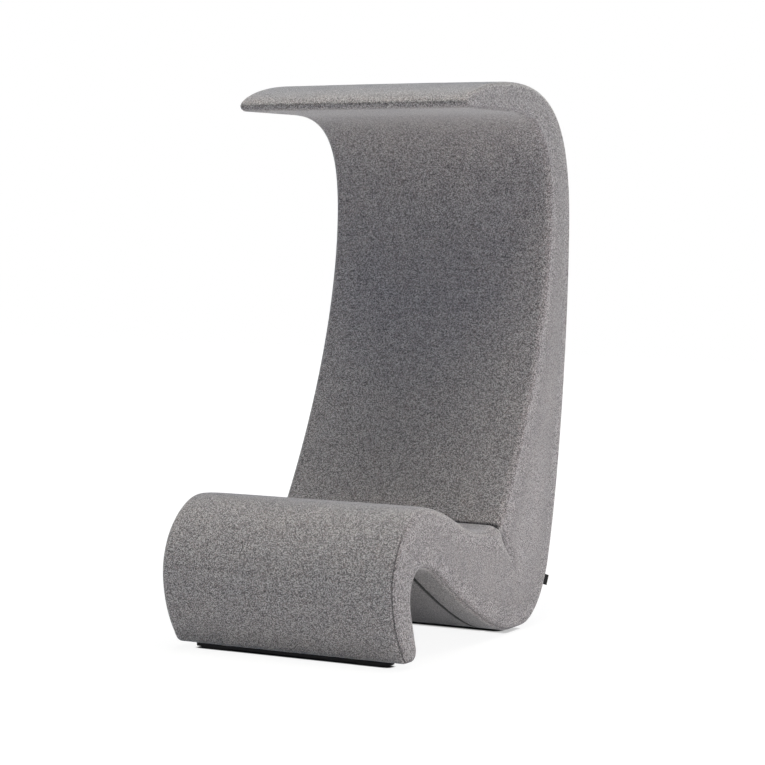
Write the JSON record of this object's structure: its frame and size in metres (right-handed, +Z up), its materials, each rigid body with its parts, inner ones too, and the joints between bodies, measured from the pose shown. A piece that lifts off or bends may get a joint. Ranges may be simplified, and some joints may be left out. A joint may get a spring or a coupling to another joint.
{
  "type": "acoustic high back lounge chair",
  "caption": "High back lounge chair: upholstered shell curling over the head as a canopy, flowing into a seat and a looped front leg, on low base boards; the cover unzips below.",
  "frame": {"origin": "floor level, at the centre of the chair's width and depth", "axes": "+Z up, -Y to the front where the sitter's legs are, +X to the sitter's left"},
  "size_m": [0.6853, 1.065, 1.488],
  "materials": {
    "cover": "grey melange boucle wool, matt",
    "foam": "cut cold foam, matt",
    "plywood": "raw birch plywood",
    "timber": "planed softwood",
    "webbing": "elastic woven webbing, black",
    "tape": "woven tape, black",
    "steel": "zinc plated",
    "base": "black, fine grain",
    "glide": "black nylon"
  },
  "bodies": {
    "chair": {"cover_leg_and_seat": "cover", "cover_backrest": "cover", "cover_top_and_rear": "cover", "cover_underside": "cover", "cover_zip_flap": "cover", "cover_side_left": "cover", "cover_side_right": "cover", "foam_leg_and_seat": "foam", "foam_backrest": "foam", "foam_top_and_rear": "foam", "foam_underside": "foam", "foam_side_left": "foam", "foam_side_right": "foam", "board_leg": "plywood", "board_canopy": "plywood", "board_rear": "plywood", "board_underside": "plywood", "rib_lower_left": "plywood", "rib_upper_left": "plywood", "rib_lower_right": "plywood", "rib_upper_right": "plywood", "splice_plate_left": "plywood", "splice_plate_right": "plywood", "rail_knee": "timber", "rail_seat_rear": "timber", "rail_lumbar": "timber", "rail_shoulder": "timber", "rail_crown": "timber", "rail_back": "timber", "rail_heel": "timber", "rail_canopy": "timber", "rail_foot_front": "timber", "rail_foot_rear": "timber", "seat_webbing_1": "webbing", "seat_webbing_2": "webbing", "seat_webbing_3": "webbing", "back_webbing_1": "webbing", "back_webbing_2": "webbing", "back_webbing_3": "webbing", "back_webbing_4": "webbing", "zip_tape_inner": "tape", "zip_tape_outer": "tape", "label_tab": "tape", "splice_bolt_left_lower": "steel", "splice_bolt_left_upper": "steel", "splice_bolt_right_lower": "steel", "splice_bolt_right_upper": "steel", "base_screw_front_left": "steel", "base_screw_front_right": "steel", "base_screw_rear_left": "steel", "base_screw_rear_right": "steel", "zip_bottom_stop": "steel", "base_board_front": "base", "base_board_rear": "base", "glide_front_left": "glide", "glide_front_right": "glide", "glide_rear_left": "glide", "glide_rear_right": "glide"},
    "slider": {"zip_slider": "steel"},
    "pull": {"zip_pull": "steel"}
  },
  "joints": [
    {"name": "zip_slide", "type": "slide", "parent": "chair", "child": "slider", "axis": [0, -0.2955, 0.9553], "range_m": [0, 0.065]},
    {"name": "zip_pull_hinge", "type": "hinge", "parent": "slider", "child": "pull", "pos_m": [0.258, -0.39143, 0.06462], "axis": [1, 0, 0], "range_deg": [0, 150]}
  ]
}
